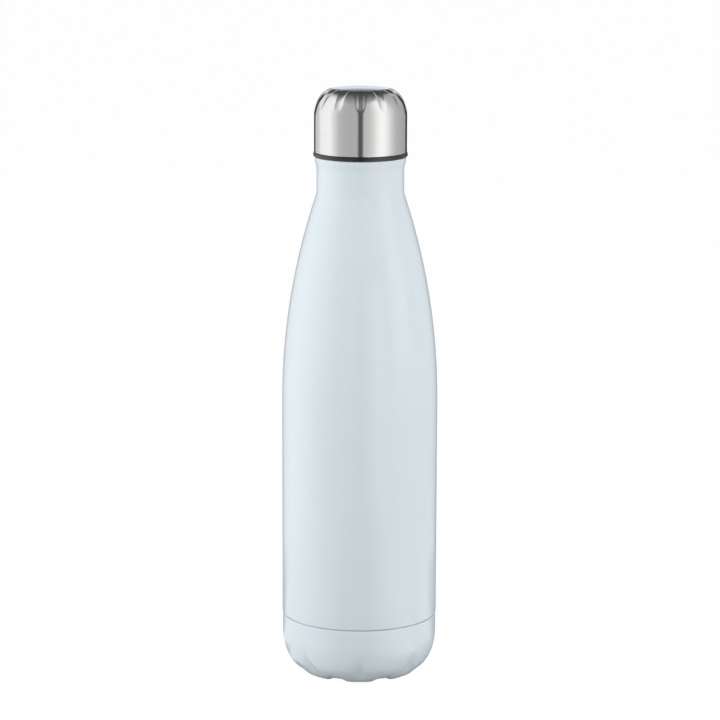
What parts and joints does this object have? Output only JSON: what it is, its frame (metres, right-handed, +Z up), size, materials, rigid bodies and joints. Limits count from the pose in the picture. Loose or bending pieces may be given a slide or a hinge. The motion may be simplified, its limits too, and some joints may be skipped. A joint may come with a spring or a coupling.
{
  "type": "insulated water bottle",
  "caption": "Slim double-wall vacuum water bottle with a tapered shoulder, a petalled base cup and a fluted steel screw cap on a black rim.",
  "frame": {"origin": "centre of the footprint, on the surface the bottle stands on", "axes": "+Z up along the bottle's axis, -Y towards the front seen in the picture, +X to its right"},
  "size_m": [0.07, 0.07, 0.266],
  "materials": {
    "paint": "pale blue-white satin lacquer",
    "bare_steel": "bare stainless steel",
    "brushed_steel": "brushed round the cap",
    "black_plastic": "black moulded plastic",
    "silicone": "translucent white silicone",
    "foam": "white foam",
    "copper": "bright copper foil",
    "solder": "dark solder glass",
    "getter": "pressed getter alloy"
  },
  "bodies": {
    "bottle": {"outer_shell": "paint", "base_cup": "paint", "outer_bottom": "bare_steel", "vacuum_seal": "solder", "getter_cup": "bare_steel", "getter_pill": "getter", "inner_liner": "bare_steel", "liner_bottom": "bare_steel", "copper_foil": "copper"},
    "seal": {"cap_seal": "silicone"},
    "cap": {"cap_shell": "brushed_steel", "cap_inner_lid": "black_plastic", "cap_foam": "foam", "cap_plug": "black_plastic"}
  },
  "joints": [
    {"name": "cap_rise", "type": "slide", "parent": "bottle", "child": "seal", "axis": [0, 0, 1], "range_m": [0, 0.0158]},
    {"name": "cap_turn", "type": "hinge", "parent": "seal", "child": "cap", "pos_m": [0, 0, 0.2365], "axis": [0, 0, 1], "range_deg": [0, 1260]}
  ],
  "couplings": [
    {"joint": "cap_rise", "follows": "cap_turn", "m_per_rad": 0.0007162}
  ]
}
